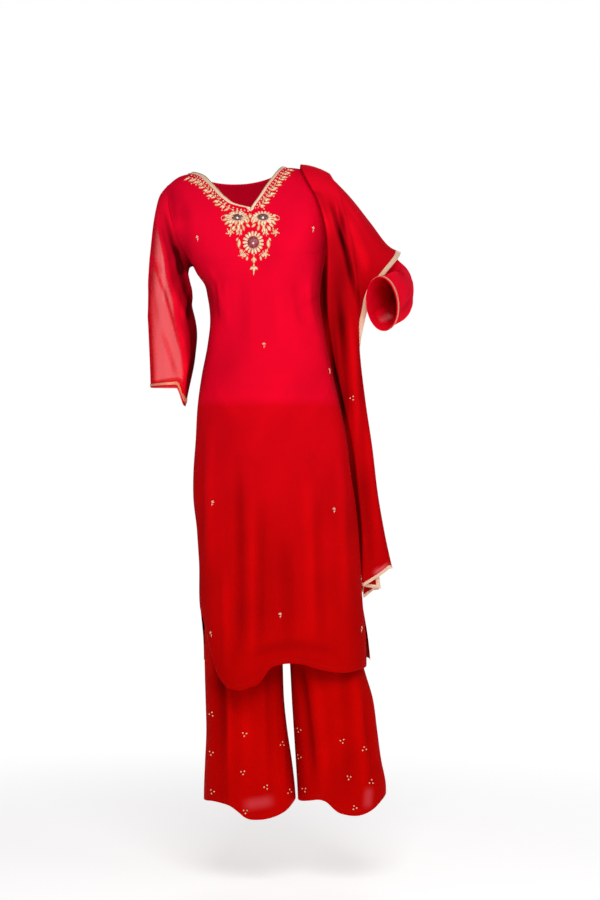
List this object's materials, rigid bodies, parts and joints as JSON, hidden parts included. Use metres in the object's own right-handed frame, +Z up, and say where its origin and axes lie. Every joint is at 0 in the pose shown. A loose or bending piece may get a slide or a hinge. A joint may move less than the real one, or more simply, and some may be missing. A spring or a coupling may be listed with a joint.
{
  "type": "salwar kameez suit",
  "caption": "Straight V-neck kameez with beaded neck and sheer sleeves, wide flared trousers, and a gold-edged dupatta pleated over the left shoulder, in the form they keep when worn.",
  "frame": {"origin": "on the neck's centre at the height of the shoulder line, in the plane of the side seams", "axes": "+Z up along the standing wearer, -Y towards the front, +X towards the wearer's left arm"},
  "size_m": [0.5515, 0.3186, 1.3396],
  "materials": {
    "kameez": "sheer georgette over a slip of the same colour, soft matte",
    "sleeves": "single sheer georgette, soft matte",
    "trousers": "lined georgette, soft matte",
    "dupatta": "folded sheer georgette, soft matte",
    "gold": "woven metallic thread and bead work, satin"
  },
  "bodies": {
    "root": {"kameez_front": "kameez", "kameez_back": "kameez", "sleeve_right": "sleeves", "sleeve_left": "sleeves", "neck_border": "gold", "cuff_trim_right": "gold", "cuff_trim_left": "gold", "rosette_right": "gold", "rosette_left": "gold", "rosette_low": "gold", "trouser_right_front": "trousers", "trouser_right_back": "trousers", "trouser_left_front": "trousers", "trouser_left_back": "trousers", "waistband": "trousers", "dupatta_front": "dupatta", "dupatta_back": "dupatta", "dupatta_ribbon_front": "gold", "dupatta_ribbon_back": "gold"}
  },
  "joints": []
}
